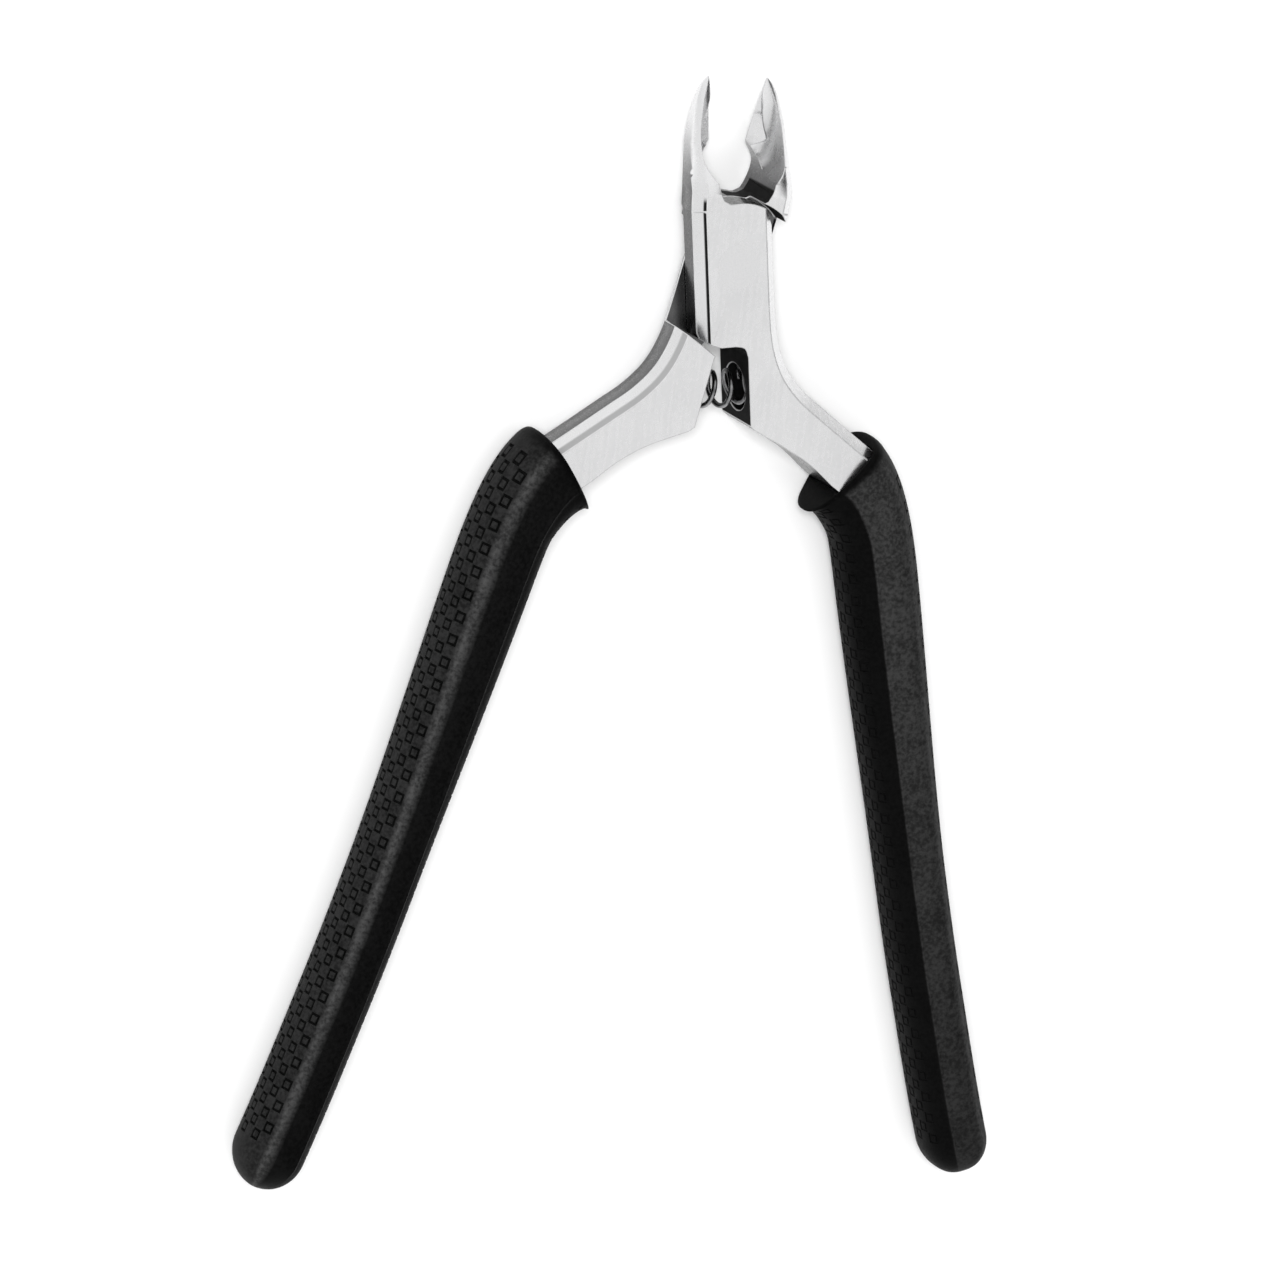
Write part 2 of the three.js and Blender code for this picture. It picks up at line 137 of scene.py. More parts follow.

# Steel: where painted shade goes on it, measured on the closed tool. X grows towards the lever's own
# handle, so its jaw is on the other side.
INNER_FACE = {1: 0.75, -1: -0.2}    # inner face of the front and the rear lever's handle
FACE_Y = (-18.2, -8.7)
FACE_SKIN = 0.12                    # how far past a surface its painted shade still counts
SEAT_Y = (-16.4, -11.2)
SEAT_Z = (1.0, 6.2)
SEAT_SKIN = 0.1
THROAT_X = (-6, 1.5)                # notch below the rear lever's jaw
THROAT_Y = (5.4, 8.35)
THROAT_Z = (1, THICK - 0.1)
THROAT_SOFT = 0.3
FAR_X = -9                          # beyond the jaw
SIDE_SHADE_Y = (8, 17)                    # the painted shade on the sides gives way to bright steel along the jaws
SIDE_SHADE_X = (-3.1, -2.6)               # but the outer side of the rear lever's jaw gets no painted shade
LAP_HALF = 0.2                      # the lap faces, which get painted shade, lie within this of the middle
SHADE_LINE = {1: (0.26, 1.0), -1: (0.42, 0.55)}    # width and darkness of the painted shade line along the top of a chamfer
SHADE_LINE_Y = (7.2, 8)                  # the line fades out here
EDGE_ROUND = 0.1                    # rounding of the sharp edges
ROUND_FROM = 38                     # degrees between faces: edges are rounded above this
SMOOTH_TO = 32                      # and shaded smoothly up to this
WELD = 0.03                         # corners closer than this are joined first
JAW_SHOULDER_R = 7.0
EASED_TO = 15.0                     # rounded edges run out here, short of the tips

# View of the tool, and its light.
TOWARDS_CAMERA = Vector((-0.4274, 0.2391, 0.8719)).normalized()
IMAGE_RIGHT = Vector((0.9039, 0.117, 0.4114)).normalized()
IMAGE_UP = TOWARDS_CAMERA.cross(IMAGE_RIGHT)
DISTANCE = 900
FRAME_WIDTH = 132.1
VIEW_SHIFT = (-10.05, -38.6)        # middle of the picture from the front of the rivet
SENSOR = 36
KEY_DISTANCE = 1.75                 # the key light's numbers are in metres
KEY_SIZE = 0.35
KEY_RADIANCE = 48.0
KEY_AIM = Vector((0, -0.045, 0))
FLOOR_SIZE = 6                      # metres
# Brightness of the light tent at places from the left, 0, to the right, 1.
TENT = ((0.0, 1.0), (0.15, 1.0), (0.3, 1.1), (0.75, 1.1), (0.85, 0.08), (1.0, 0.08))


# --- small helpers -------------------------------------------------------------------------


def smooth(t):
    t = np.clip(t, 0, 1)
    return t * t * (3 - 2 * t)


def rise(value, low, high):
    """0 up to low, 1 from high on, and eased in between."""
    return smooth((value - low) / (high - low))


def mix(a, b, t):
    return a + (b - a) * t


def make_object(name, vertices, faces):
    mesh = bpy.data.meshes.new(name)
    mesh.from_pydata((np.asarray(vertices) * MM).tolist(), [], faces)
    mesh.validate()
    mesh.shade_smooth()
    made = bpy.data.objects.new(name, mesh)
    bpy.context.collection.objects.link(made)
    return made


def mark_points(thing, name, values):
    """Stores one number for each point, for the material to read."""
    layer = thing.data.attributes.new(name, "FLOAT", "POINT")
    layer.data.foreach_set("value", values.astype(np.float32))


def ring_faces(rings, count, first=0):
    """Faces between each ring of points and the next; `first` is the first ring's first point."""
    faces = []
    for i in range(rings - 1):
        low = first + i * count
        high = low + count
        for j in range(count):
            k = (j + 1) % count
            faces.append((low + j, low + k, high + k, high + j))
    return faces


def fan_faces(first, count, pole):
    """Triangles from a ring of points to one point that closes it."""
    return [(first + j, first + (j + 1) % count, pole) for j in range(count)]


# --- sleeves -------------------------------------------------------------------------------


def bezier(points, steps):
    t = np.linspace(0, 1, steps)[:, None]
    a, b, c, d = (np.array(p, float) for p in points)
    return (1 - t) ** 3 * a + 3 * (1 - t) ** 2 * t * b + 3 * (1 - t) * t**2 * c + t**3 * d


def handle_path():
    """The handle's middle line, on the +x side of the closed tool, and the length along it."""
    line = np.concatenate([
        bezier([MOUTH, MOUTH + 3.2 * HEADING, (15.65, -31), (16.15, -37.5)], 300),
        bezier([(16.15, -37.5), (17.1, -49), (18.7, -70.2), (20.45, -83.4)], 600)[1:],
        bezier([(20.45, -83.4), (21.25, -89.5), (22, -95.7), (23.15, -102.3)], 300)[1:],
    ])
    along = np.concatenate([[0], np.cumsum(np.linalg.norm(np.diff(line, axis=0), axis=1))])
    return line, along


LINE_POINTS, LINE_ALONG = handle_path()
PATH_LENGTH = LINE_ALONG[-1]
SLEEVE_END = PATH_LENGTH + SLEEVE_OVERHANG


def on_path(s):
    """Points and directions at the distances s; straight on past both ends."""
    inside = np.clip(s, 0, PATH_LENGTH)
    at = np.stack([np.interp(inside, LINE_ALONG, LINE_POINTS[:, k]) for k in (0, 1)], -1)
    step = 0.4
    ahead = np.clip(inside + step, 0, PATH_LENGTH)
    behind = np.clip(inside - step, 0, PATH_LENGTH)
    way = np.stack([
        np.interp(ahead, LINE_ALONG, LINE_POINTS[:, k])
        - np.interp(behind, LINE_ALONG, LINE_POINTS[:, k])
        for k in (0, 1)
    ], -1)
    way /= np.linalg.norm(way, axis=-1, keepdims=True)
    return at + way * (s - inside)[..., None], way


def section(turn, width, height, lip):
    """Points and outward normals of the sleeve's section; u points away from the other handle."""
    c, n = np.cos(turn), np.sin(turn)
    power = np.where(c > 0, OUTER_POWER, INNER_POWER)
    reach = np.where(c > 0, width, width + lip)
    u = reach * np.sign(c) * np.abs(c) ** (2 / power)
    v = height * np.sign(n) * np.abs(n) ** (2 / power)
    nu = np.sign(u) * np.abs(u / reach) ** (power - 1) / reach
    nv = np.sign(v) * np.abs(v / height) ** (power - 1) / height
    size = np.hypot(nu, nv)
    v = v * (1 - CROWN_SLOPE * np.clip((CROWN_AT - u) / (CROWN_AT + width), 0, 1))
    return u, v, nu / size, nv / size


def sleeve_width(s):
    return mix(MOUTH_WIDTH, WIDTH, rise(s, *WIDTH_CHANGE))


def sleeve_height(s):
    return mix(MOUTH_HEIGHT, HEIGHT, rise(s, *HEIGHT_CHANGE))


def sleeve_lip(s):
    return LIP * np.clip(1 - s / LIP_TAPER, 0, 1) ** LIP_POWER


def end_share(s):
    """How much of the full section is left in the rounded end and at the rounded rim."""
    closing = np.clip((s - (SLEEVE_END - END_ROUND)) / END_ROUND, 0, 1)
    opening = np.clip((SLEEVE_START + RIM_ROUND - s) / RIM_ROUND, 0, 1)
    rim = mix(1, RIM_SHARE, 1 - np.sqrt(1 - opening**2))
    return np.sqrt(np.maximum(1 - closing**2, 0)) * rim


def mean_section():
    """Angles of the mean section, the distance round it from its outermost point, and u there."""
    turn = np.linspace(0, 2 * math.pi, 4001)
    u, v, _, _ = section(turn, *MEAN_SIZE, 0)
    round_it = np.concatenate([[0], np.cumsum(np.hypot(np.diff(u), np.diff(v)))])
    return turn, round_it, u


TURNS, ROUND_IT, MEAN_U = mean_section()
GIRTH = ROUND_IT[-1]
FRONT_HALF = TURNS < math.pi
RIDGE = np.interp(-RIDGE_AT, -MEAN_U[FRONT_HALF], ROUND_IT[FRONT_HALF])


def round_from(q, middle):
    """Signed distance round the girth from a line, the shorter way."""
    return (q - middle + GIRTH / 2) % GIRTH - GIRTH / 2


def columns_of_squares(count, middle, depth):
    """Each column's place round the girth, whether it starts one row later, and its depth."""
    return [(middle + (j - (count - 1) / 2) * COLUMN_STEP, j % 2, depth) for j in range(count)]


COLUMNS = columns_of_squares(OUTER_COLUMNS, 0, 1.0)
COLUMNS += columns_of_squares(INNER_COLUMNS, GIRTH / 2, INNER_DEPTH)
ROWS = np.arange(PATTERN_FROM, SLEEVE_END - PATTERN_MARGIN, ROW_STEP)


def square_stops(centre):
    """Where a grid line is needed so that a square's outline has clean walls."""
    outer, inner = SQUARE / 2, SQUARE / 2 - LINE
    offsets = [outer, outer - WALL, inner + WALL, inner]
    return [centre + side * d for side in (-1, 1) for d in offsets]


def fill_gaps(stops, low, high, widest):
    """Sorted stops between low and high, with more added where they are far apart."""
    stops = sorted({low, high, *(x for x in stops if low < x < high)})
    filled = []
    for a, b in zip(stops, stops[1:]):
        pieces = max(1, math.ceil((b - a) / widest))
        filled += [a + (b - a) * k / pieces for k in range(pieces)]
    return np.array(filled + [high])


def grid_round():
    """The mesh's lines round the girth: at the squares' edges, at the ridge and in between."""
    stops = [x for q, _, _ in COLUMNS for x in square_stops(q)]
    stops += [RIDGE + d for d in RIDGE_STOPS]
    start = -OUTER_EDGE - COLUMN_STEP / 2
    stops = [x if x > start else x + GIRTH for x in stops]
    return fill_gaps(stops, start, start + GIRTH, WIDEST_ROUND)[:-1]


def grid_along():
    """The mesh's lines along the sleeve: rounded rim, squares' edges and rounded end."""
    rim = SLEEVE_START + RIM_ROUND * (1 - np.cos(np.linspace(0, math.pi / 2, 6)))
    cap_from = SLEEVE_END - END_ROUND
    cap = cap_from + END_ROUND * np.sin(np.linspace(0, math.pi / 2, 18))[1:-1]
    stops = [x for centre in ROWS for x in square_stops(centre)]
    along = fill_gaps(stops, SLEEVE_START + RIM_ROUND, cap_from, WIDEST_ALONG)
    return np.concatenate([rim[:-1], along, cap])


def outline_mask(offset_s, offset_q):
    """1 on a square's outline and 0 off it, with sloping walls between."""
    away = np.maximum(np.abs(offset_s), np.abs(offset_q))
    outer, inner = SQUARE / 2, SQUARE / 2 - LINE
    return np.clip(np.minimum((outer - away) / WALL, (away - inner) / WALL), 0, 1)


def sleeve_relief(s, q):
    """Height over the plain skin: the squares' grooves, and the ridge on the front."""
    relief = np.zeros_like(s)
    for middle, odd, depth in COLUMNS:
        for centre in ROWS[odd::2]:
            outline = outline_mask(s - centre, round_from(q, middle)[None, :])
            relief = np.minimum(relief, -GROOVE * depth * outline)
    fade = rise(s - SLEEVE_START, *RIDGE_START) * rise(SLEEVE_END - s, *RIDGE_END)
    return relief + RIDGE_HIGH * np.exp(-(((q[None, :] - RIDGE) / RIDGE_WIDE) ** 2)) * fade


def sleeve_painted_light(s, q, front_light):
    """Painted light on the rubber: the textured side, a painted highlight band beside it and the front.
    """
    away = np.abs(round_from(q, 0)) - OUTER_EDGE
    # painted light on the textured side, a painted highlight on the plain band, and painted light on the
    # front, much more on the right sleeve than on the left
    outer = OUTER_LIGHT * (1 - rise(away, *OUTER_ENDS))
    band = rise(away, *BAND_STARTS) * (1 - rise(away, *BAND_ENDS))
    front = front_light * (1 - rise(away + OUTER_EDGE, RIDGE, RIDGE + FRONT_SOFT))
    kept = 1 - FRONT_LIGHT_DROP * rise(s, 0, SLEEVE_END)
    lit_share = np.maximum(np.maximum(outer, band)[None, :], front[None, :] * kept)
    return lit_share * rise(s - SLEEVE_START, *MOUTH_DARK)


def neck_ring(face, turn, towards_rim, depth):
    """A ring between the opening for the shank and the mouth's outer ring, at a depth."""
    neck_u = NECK[0] * np.sign(np.cos(turn)) * np.abs(np.cos(turn)) ** NECK_POWER
    neck_v = NECK[1] * np.sign(np.sin(turn)) * np.abs(np.sin(turn)) ** NECK_POWER
    return np.stack([
        mix(neck_u + NECK_MIDDLE, face[:, 0], towards_rim),
        mix(neck_v, face[:, 1], towards_rim),
        np.full(len(turn), SLEEVE_START + depth),
    ], -1)


def lay_along_handle(local, side):
    """Places of points given across, up and along the handle, in the open tool."""
    at, way = on_path(local[:, 2])
    x = (at[:, 0] - local[:, 0] * way[:, 1]) * side
    y = at[:, 1] + local[:, 0] * way[:, 0]
    turn = HALF_REST * side
    return np.stack([
        x * math.cos(turn) - y * math.sin(turn),
        x * math.sin(turn) + y * math.cos(turn),
        MID + local[:, 1],
    ], -1)


def build_sleeve(name, side):
    """One sleeve as rings along the handle, closed at the far end; side is 1 for the right one."""
    q = grid_round()
    turn = np.interp(q % GIRTH, ROUND_IT, TURNS)
    s, turns = np.meshgrid(grid_along(), turn, indexing="ij")
    share = end_share(s)
    u, v, nu, nv = section(
        turns, sleeve_width(s) * share, sleeve_height(s) * share, sleeve_lip(s) * share
    )
    relief = sleeve_relief(s, q)
    skin = np.stack([u + nu * relief, v + nv * relief, s], -1)
    neck = [neck_ring(skin[0], turn, *ring) for ring in NECK_RINGS]
    local = np.concatenate([*neck, *skin, [[0, 0, SLEEVE_END]]])

    count = len(q)
    pole = len(local) - 1
    faces = ring_faces(len(neck) + len(skin), count) + fan_faces(pole - count, count, pole)
    if side > 0:
        faces = [face[::-1] for face in faces]
    made = make_object(name, lay_along_handle(local, side), faces)

    groove, light = np.zeros(len(local)), np.zeros(len(local))
    on_skin = slice(len(neck) * count, pole)
    groove[on_skin] = np.clip(-relief / GROOVE, 0, 1).ravel()
    light[on_skin] = sleeve_painted_light(s, q, FRONT_LIGHT[side]).ravel()
    light[pole] = light[pole - 1]
    mark_points(made, "groove", groove)
    mark_points(made, "light", light)
    return made


# --- spring and rivet ----------------------------------------------------------------------


def build_spring():
    """Round wire coiled about the arc between the two seats, and half the arc's angle."""
    half = HALF_REST + (SEAT_FLOOR - WIRE_R - SEAT_CLEAR) / SPRING_ARM
    steps = round(COILS * COIL_STEPS)
    t = np.linspace(0, 1, steps + 1)
    spread = 0.5 + (t - 0.5) * mix(1, END_SHARE, np.abs(2 * t - 1) ** 4)
    a = mix(half, -half, spread)
    f = 2 * math.pi * COILS * t
    r = SPRING_ARM + SPRING_R * np.cos(f)
    line = np.stack([-r * np.sin(a), -r * np.cos(a), MID + SPRING_R * np.sin(f)], -1)
    way = np.gradient(line, axis=0)
    way /= np.linalg.norm(way, axis=1, keepdims=True)
    hub = np.stack([-SPRING_ARM * np.sin(a), -SPRING_ARM * np.cos(a), np.full(len(a), MID)], -1)
    out = line - hub
    out -= way * (out * way).sum(1, keepdims=True)
    out /= np.linalg.norm(out, axis=1, keepdims=True)
    across = np.cross(way, out)
    phase = np.linspace(0, 2 * math.pi, WIRE_SIDES, endpoint=False)
    ring = out[:, None] * np.cos(phase)[:, None] + across[:, None] * np.sin(phase)[:, None]
    vertices = (line[:, None] + WIRE_R * ring).reshape(-1, 3)
    faces = ring_faces(steps + 1, WIRE_SIDES)
    faces.append(tuple(range(WIRE_SIDES))[::-1])
    faces.append(tuple(range(steps * WIRE_SIDES, (steps + 1) * WIRE_SIDES)))
    return make_object("spring_wire", vertices, faces), half


def build_rivet():
    """A plain rivet whose ends are spread into the mouths of its holes and ground flush."""
    profile = [
        (RIVET_HEAD, -HEAD_PROUD), (RIVET_R, HEAD_DEEP),
        (RIVET_R, THICK - HEAD_DEEP), (RIVET_HEAD, THICK + HEAD_PROUD),
    ]
    vertices = [(0, 0, -HEAD_PROUD)]
    for radius, height in profile:
        for j in range(RIVET_SIDES):
            angle = 2 * math.pi * j / RIVET_SIDES
            vertices.append((radius * math.cos(angle), radius * math.sin(angle), height))
    vertices.append((0, 0, THICK + HEAD_PROUD))
    pole = len(vertices) - 1
    faces = [face[::-1] for face in fan_faces(1, RIVET_SIDES, 0)]
    faces += ring_faces(len(profile), RIVET_SIDES, first=1)
    faces += fan_faces(pole - RIVET_SIDES, RIVET_SIDES, pole)
    return make_object("rivet", vertices, faces)


# --- materials -----------------------------------------------------------------------------


class Nodes:
    """Short calls for building one material."""

    def __init__(self, name):
        self.material = bpy.data.materials.new(name)
        self.material.use_nodes = True
        self.tree = self.material.node_tree
        self.surface = self.tree.nodes["Principled BSDF"]

    def add(self, kind, **values):
        node = self.tree.nodes.new(kind)
        for key, value in values.items():
            setattr(node, key, value)
        return node

    def link(self, source, target):
        self.tree.links.new(source, target)

    def place(self, scale=(1, 1, 1), turn=0.0):
        """Object coordinates, turned about Z and scaled."""
        where = self.add("ShaderNodeTexCoord")
        mapping = self.add("ShaderNodeMapping")
        mapping.inputs["Rotation"].default_value = (0, 0, turn)
        mapping.inputs["Scale"].default_value = scale
        self.link(where.outputs["Object"], mapping.inputs["Vector"])
        return mapping.outputs["Vector"]

    def noise(self, vector, scale, detail=4.0, roughness=0.55):
        node = self.add("ShaderNodeTexNoise")
        node.inputs["Scale"].default_value = scale
        node.inputs["Detail"].default_value = detail
        node.inputs["Roughness"].default_value = roughness
        self.link(vector, node.inputs["Vector"])
        return node.outputs["Fac"]

    def spread(self, value, low, high, to_low, to_high):
        """Maps low..high of a value to to_low..to_high, eased and clamped."""
        node = self.add("ShaderNodeMapRange", interpolation_type="SMOOTHSTEP")
        for key, number in zip(
            ("From Min", "From Max", "To Min", "To Max"), (low, high, to_low, to_high)
        ):
            node.inputs[key].default_value = number
        self.link(value, node.inputs["Value"])
        return node.outputs["Result"]

    def math(self, operation, a, b):
        node = self.add("ShaderNodeMath", operation=operation)
        for socket, value in zip(node.inputs, (a, b)):
            if isinstance(value, (int, float)):
                socket.default_value = value
            else:
                self.link(value, socket)
        return node.outputs["Value"]

    def between(self, value, low, high, edge=0.05):
        """1 where the value, in millimetres, lies between low and high, and 0 elsewhere."""
        rising = self.spread(value, (low - edge) * MM, low * MM, 0, 1)
        falling = self.spread(value, high * MM, (high + edge) * MM, 1, 0)
        return self.math("MULTIPLY", rising, falling)

    def all_of(self, *shares):
        """The product of several shares."""
        product = shares[0]
        for share in shares[1:]:
            product = self.math("MULTIPLY", product, share)
        return product

    def colours(self, value, low, high):
        node = self.add("ShaderNodeValToRGB")
        node.color_ramp.elements[0].color = (*low, 1)
        node.color_ramp.elements[1].color = (*high, 1)
        self.link(value, node.inputs["Fac"])
        return node.outputs["Color"]

    def blend(self, factor, a, b):
        node = self.add("ShaderNodeMix", data_type="RGBA")
        self.link(factor, node.inputs["Factor"])
        self.link(a, node.inputs["A"])
        self.link(b, node.inputs["B"])
        return node.outputs["Result"]

    def bump(self, height, strength, distance):
        node = self.add("ShaderNodeBump")
        node.inputs["Strength"].default_value = strength
        node.inputs["Distance"].default_value = distance * MM
        self.link(height, node.inputs["Height"])
        self.link(node.outputs["Normal"], self.surface.inputs["Normal"])


def steel_shares(n, own, side):
    """Where painted shade dims the steel and where painted shade darkens it: 1 there, and 0 elsewhere.
    """
    parts = n.add("ShaderNodeSeparateXYZ")
    n.link(own, parts.inputs[0])
    x = n.math("MULTIPLY", parts.outputs["X"], side)
    y, z = parts.outputs["Y"], parts.outputs["Z"]
    facing = n.add("ShaderNodeNewGeometry")
    normal = n.add("ShaderNodeSeparateXYZ")
    n.link(facing.outputs["Normal"], normal.inputs[0])
    upright = n.math("ABSOLUTE", normal.outputs["Z"], 0)
    wall = n.spread(upright, 0.3, 0.5, 1, 0)
    slope_or_flat = n.spread(upright, 0.5, 0.55, 0, 1)
    flat = n.spread(upright, 0.9, 0.95, 0, 1)

    # Painted shade, dim grey: on the sides and on the lap faces between the levers.
    sides = n.all_of(wall, n.spread(y, SIDE_SHADE_Y[0] * MM, SIDE_SHADE_Y[1] * MM, 1, 0))
    if side < 0:
        sides = n.all_of(sides, n.spread(x, SIDE_SHADE_X[0] * MM, SIDE_SHADE_X[1] * MM, 0, 1))
    lap_face = n.all_of(n.between(z, MID - LAP_HALF, MID + LAP_HALF), flat)
    dim_shade = n.math("MAXIMUM", sides, lap_face)

    # Painted shade, near black: the inner faces of the handles, the spring's seats and, on the rear
    # lever, the notch below its jaw.
    near_face = n.between(x, FAR_X, INNER_FACE[side] + FACE_SKIN)
    inner_face = n.all_of(n.between(y, *FACE_Y), near_face, wall)
    in_seat = n.between(x, FAR_X, SEAT_FLOOR + SEAT_SKIN)
    seat = n.all_of(n.between(y, *SEAT_Y), in_seat, n.between(z, *SEAT_Z))
    dark = n.math("MAXIMUM", inner_face, seat)
    if side < 0:
        across = n.all_of(n.between(x, *THROAT_X), n.between(z, *THROAT_Z))
        throat = n.all_of(n.between(y, *THROAT_Y, THROAT_SOFT), across, wall)
        dark = n.math("MAXIMUM", dark, throat)

    # Painted shade: a dark line along the top of the chamfers that face left.
    left_chamfer = n.all_of(n.spread(normal.outputs["X"], -0.4, -0.3, 1, 0), slope_or_flat)
    wide, strength = SHADE_LINE[side]
    top = n.between(z, THICK - wide, THICK, wide / 2)
    ends = n.spread(y, SHADE_LINE_Y[0] * MM, SHADE_LINE_Y[1] * MM, 1, 0)
    return dim_shade, n.math("MAXIMUM", dark, n.all_of(left_chamfer, top, ends, strength))


def ground_steel(name, side):
    """Satin steel ground along the tool: bright faces, and painted shade for dim sides, dark inner
    faces and a dark line along the top of the left chamfer; side is 1 for the front lever."""
    n = Nodes(name)
    own = n.place(turn=-HALF_REST * side)
    lines = n.noise(n.place((5, 0.4, 5), -HALF_REST * side), 420, 5, 0.6)
    clouds = n.noise(own, 130, 3)
    specks = n.noise(own, 2600, 2)
    grain = n.math("ADD", n.math("MULTIPLY", lines, 0.6), n.math("MULTIPLY", specks, 0.4))
    bright = n.colours(n.spread(clouds, 0.3, 0.7, 0, 1), (0.7, 0.7, 0.705), (0.74, 0.74, 0.745))
    # painted shade colours: dim grey for the sides and lap faces, near black for the inner faces, seats,
    # notch and chamfer line
    dim_shade = n.colours(n.spread(clouds, 0.3, 0.7, 0, 1), (0.09, 0.09, 0.091), (0.12, 0.12, 0.121))
    dark = n.colours(n.spread(specks, 0.3, 0.7, 0, 1), (0.002, 0.002, 0.002), (0.006, 0.006, 0.006))
    shade_dimmed, darkened = steel_shares(n, own, side)
    n.link(n.blend(darkened, n.blend(shade_dimmed, bright, dim_shade), dark), n.surface.inputs["Base Color"])
    n.link(
        n.math("ADD", n.spread(grain, 0.35, 0.65, 0.25, 0.32), n.math("MULTIPLY", darkened, 0.4)),
        n.surface.inputs["Roughness"],
    )
    n.link(n.math("SUBTRACT", 1, darkened), n.surface.inputs["Metallic"])
    n.surface.inputs["Specular IOR Level"].default_value = 0.1
    n.bump(grain, 0.02, 0.02)
    return n.material


def worn_edge(name):
    """The narrow rounded edges between ground faces, rubbed bright and matt by wear."""
    n = Nodes(name)
    marks = n.noise(n.place(), 700, 3)
    n.link(
        n.colours(n.spread(marks, 0.3, 0.7, 0, 1), (0.48, 0.48, 0.484), (0.56, 0.56, 0.564)),
        n.surface.inputs["Base Color"],
    )
    n.link(n.spread(marks, 0.3, 0.7, 0.35, 0.5), n.surface.inputs["Roughness"])
    n.surface.inputs["Metallic"].default_value = 0.4
    n.bump(marks, 0.08, 0.02)
    return n.material


def turned_steel(name):
    """The rivet: faced in a lathe, so its marks run round the axis."""
    n = Nodes(name)
    where = n.place()
    waves = n.add("ShaderNodeTexWave", wave_type="RINGS", rings_direction="Z")
    waves.inputs["Scale"].default_value = 2600
    waves.inputs["Distortion"].default_value = 1.5
    n.link(where, waves.inputs["Vector"])
    specks = n.noise(where, 1500, 4)
    grain = n.math("ADD", n.math("MULTIPLY", waves.outputs["Fac"], 0.3), n.math("MULTIPLY", specks, 0.7))
    n.link(
        n.colours(n.spread(specks, 0.3, 0.7, 0, 1), (0.7, 0.7, 0.705), (0.74, 0.74, 0.745)),
        n.surface.inputs["Base Color"],
    )
    n.link(n.spread(grain, 0.3, 0.7, 0.24, 0.34), n.surface.inputs["Roughness"])
    n.surface.inputs["Metallic"].default_value = 1.0
    n.bump(grain, 0.08, 0.02)
    return n.material


def spring_wire_steel(name):
    """Dark drawn wire."""
    n = Nodes(name)
    marks = n.noise(n.place(), 900, 4)
    n.link(
        n.colours(n.spread(marks, 0.35, 0.65, 0, 1), (0.12, 0.12, 0.123), (0.3, 0.3, 0.305)),
        n.surface.inputs["Base Color"],
    )
    n.link(n.spread(marks, 0.3, 0.7, 0.16, 0.3), n.surface.inputs["Roughness"])
    n.surface.inputs["Metallic"].default_value = 1.0
    n.bump(marks, 0.1, 0.02)
    return n.material


def soft_rubber(name):
    """Black moulded rubber with painted light where `light` says so; the grooves are left dark, a
    painted shade.
    """
    n = Nodes(name)
    where = n.place()
    grain = n.noise(where, 2400, 3, 0.6)
    clouds = n.noise(where, 260, 4)
    mottle = n.math("ADD", n.math("MULTIPLY", grain, 0.7), n.math("MULTIPLY", clouds, 0.3))
    share = n.spread(mottle, 0.35, 0.65, 0, 1)
    black = n.colours(share, (0.001, 0.001, 0.001), (0.0025, 0.0025, 0.0025))
    # painted light: a lit grey, mixed in where `light` says so
    painted_lit = n.colours(share, (0.018, 0.018, 0.018), (0.052, 0.052, 0.052))
    # painted shade: the grooves take this dark colour in place of the painted light
    deep = n.colours(share, (0.001, 0.001, 0.001), (0.004, 0.004, 0.004))
    light = n.add("ShaderNodeAttribute", attribute_name="light")
    groove = n.add("ShaderNodeAttribute", attribute_name="groove")
    skin = n.blend(light.outputs["Fac"], black, painted_lit)
    n.link(n.blend(groove.outputs["Fac"], skin, deep), n.surface.inputs["Base Color"])
    n.link(
        n.math(
            "ADD",
            n.spread(mottle, 0.3, 0.7, 0.42, 0.58),
            n.math("MULTIPLY", groove.outputs["Fac"], 0.15),
        ),
        n.surface.inputs["Roughness"],
    )
    n.surface.inputs["Specular IOR Level"].default_value = 0.03
    n.bump(mottle, 0.5, 0.07)
    return n.material


def backdrop_white(name):
    n = Nodes(name)
    paper = n.noise(n.place(), 30, 3)
    n.link(
        n.colours(n.spread(paper, 0.3, 0.7, 0, 1), (0.88, 0.88, 0.88), (0.9, 0.9, 0.9)),
        n.surface.inputs["Base Color"],
    )
    n.surface.inputs["Roughness"].default_value = 0.9
    n.surface.inputs["Specular IOR Level"].default_value = 0.1
    return n.material


def give(thing, *materials):
    slots = thing.data.materials
    for index, material in enumerate(materials):
        if index < len(slots):
            slots[index] = material
        else:
            slots.append(material)


# --- finish of the machined parts ----------------------------------------------------------


def modifier_group(name):
    """An empty node group for a modifier, with its first and last node."""
    tree = bpy.data.node_groups.new(name, "GeometryNodeTree")
    for way in ("INPUT", "OUTPUT"):
        tree.interface.new_socket("Geometry", in_out=way, socket_type="NodeSocketGeometry")
    return tree, tree.nodes.new("NodeGroupInput"), tree.nodes.new("NodeGroupOutput")


